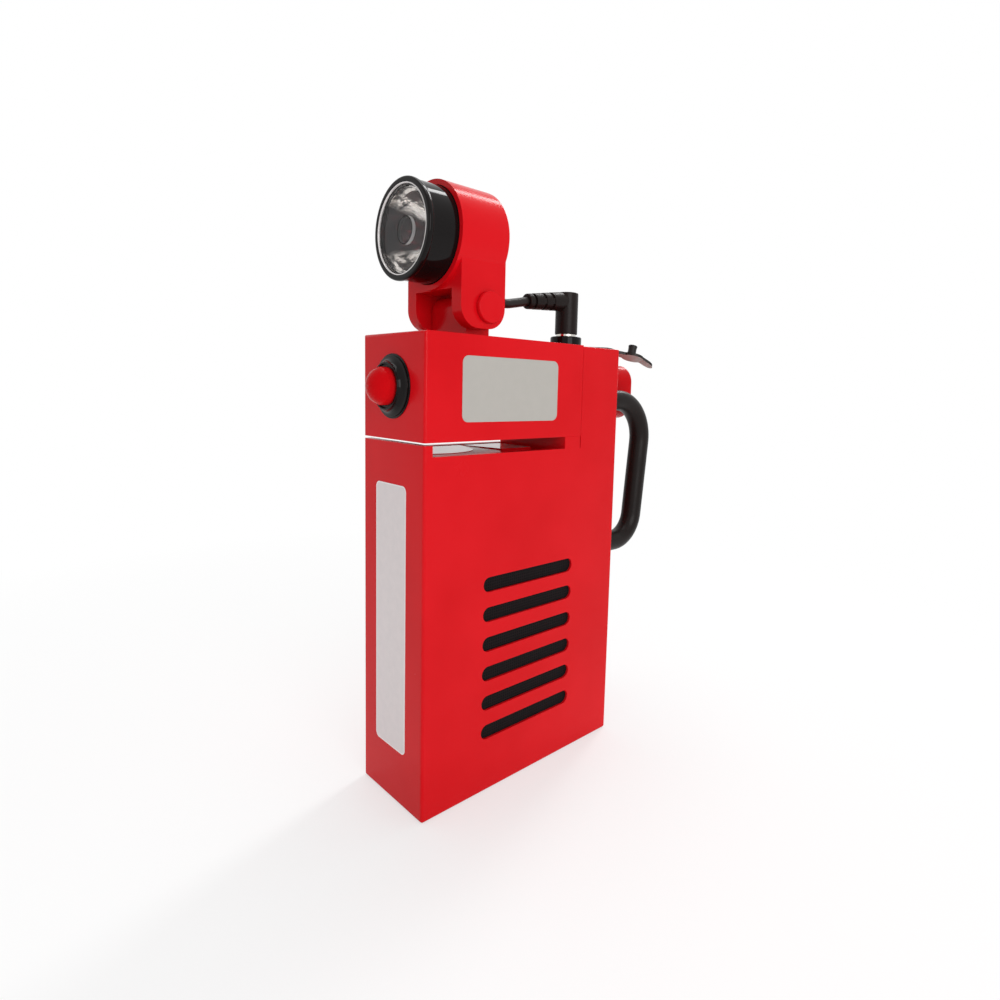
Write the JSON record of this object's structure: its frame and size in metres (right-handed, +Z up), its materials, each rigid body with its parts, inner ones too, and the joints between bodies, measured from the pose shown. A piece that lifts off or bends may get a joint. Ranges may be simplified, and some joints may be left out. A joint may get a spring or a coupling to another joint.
{
  "type": "water activated emergency lamp",
  "caption": "Slim upright water tank with vent slots and side handle, and a lift-out head that carries a push switch and a round torch lamp tilting on a fork.",
  "frame": {"origin": "middle of the tank's flat underside", "axes": "+Z up, -Y the front with the vent slots, -X where the lamp shines, +X the handle"},
  "size_m": [0.1048, 0.0324, 0.171],
  "materials": {
    "red_shell": "glossy moulded",
    "black_plastic": "satin moulded",
    "black_gloss": "glossy moulded",
    "black_rubber": "matt rubber",
    "red_cap": "satin moulded",
    "cathode_sheet": "matt carbon sheet",
    "clear_lens": "clear polished",
    "reflector_coat": "mirror coated",
    "board_green": "solder mask",
    "part_black": "moulded",
    "led_yellow": "phosphor dome",
    "steel": "plain steel",
    "nickel": "nickel strip",
    "plug_metal": "plated",
    "anode_metal": "rolled sheet",
    "led_board_metal": "white masked metal"
  },
  "bodies": {
    "tank": {"tank_shell": "red_shell", "cathode_gasket": "black_rubber", "air_cathode": "cathode_sheet", "cathode_clamp": "black_plastic", "frame_screws": "steel", "cathode_lead": "nickel", "jack_socket": "black_plastic", "jack_nut": "black_gloss", "dust_ring": "black_rubber", "handle": "black_plastic", "handle_screws": "steel", "deck_seal": "black_rubber"},
    "filler_cap": {"filler_cap": "red_cap", "filler_seal": "black_rubber"},
    "dust_cap": {"dust_cap": "black_rubber"},
    "head": {"head_shell": "red_shell", "head_base": "red_shell", "base_screws": "steel", "circuit_board": "board_green", "circuit_parts": "part_black", "board_screws": "steel", "switch_body": "black_plastic", "switch_collar": "black_gloss", "anode_carrier": "red_shell", "carrier_screws": "steel", "anode_plate": "anode_metal", "anode_lead": "nickel", "anode_screws": "steel", "anode_nuts": "steel", "plug_body": "black_plastic", "plug_barrel": "plug_metal", "lamp_cord": "black_rubber"},
    "button": {"switch_button": "red_cap"},
    "lamp": {"lamp_housing": "red_shell", "lamp_bezel": "black_gloss", "lens": "clear_lens", "lens_seal": "black_rubber", "reflector": "reflector_coat", "led_board": "led_board_metal", "led": "led_yellow", "hinge_pin": "red_shell", "pin_clip": "steel", "cord_gland": "black_rubber"}
  },
  "joints": [
    {"name": "head_lift", "type": "slide", "parent": "tank", "child": "head", "axis": [0, 0, 1], "range_m": [0, 0.09]},
    {"name": "lamp_tilt", "type": "hinge", "parent": "head", "child": "lamp", "pos_m": [-0.016, 0, 0.1378], "axis": [0, 1, 0], "range_deg": [-6, 50], "deforming": ["lamp_cord"]},
    {"name": "switch_press", "type": "slide", "parent": "head", "child": "button", "axis": [1, 0, 0], "range_m": [0, 0.0025], "stiffness_N_per_m": 400, "springref_m": -0.002},
    {"name": "filler_cap_pull", "type": "slide", "parent": "tank", "child": "filler_cap", "axis": [1, 0, 0], "range_m": [0, 0.016]},
    {"name": "dust_cap_swing", "type": "hinge", "parent": "tank", "child": "dust_cap", "pos_m": [0.03947, -0.00768, 0.1309], "axis": [-0.5563, -0.831, 0], "range_deg": [0, 90]}
  ]
}
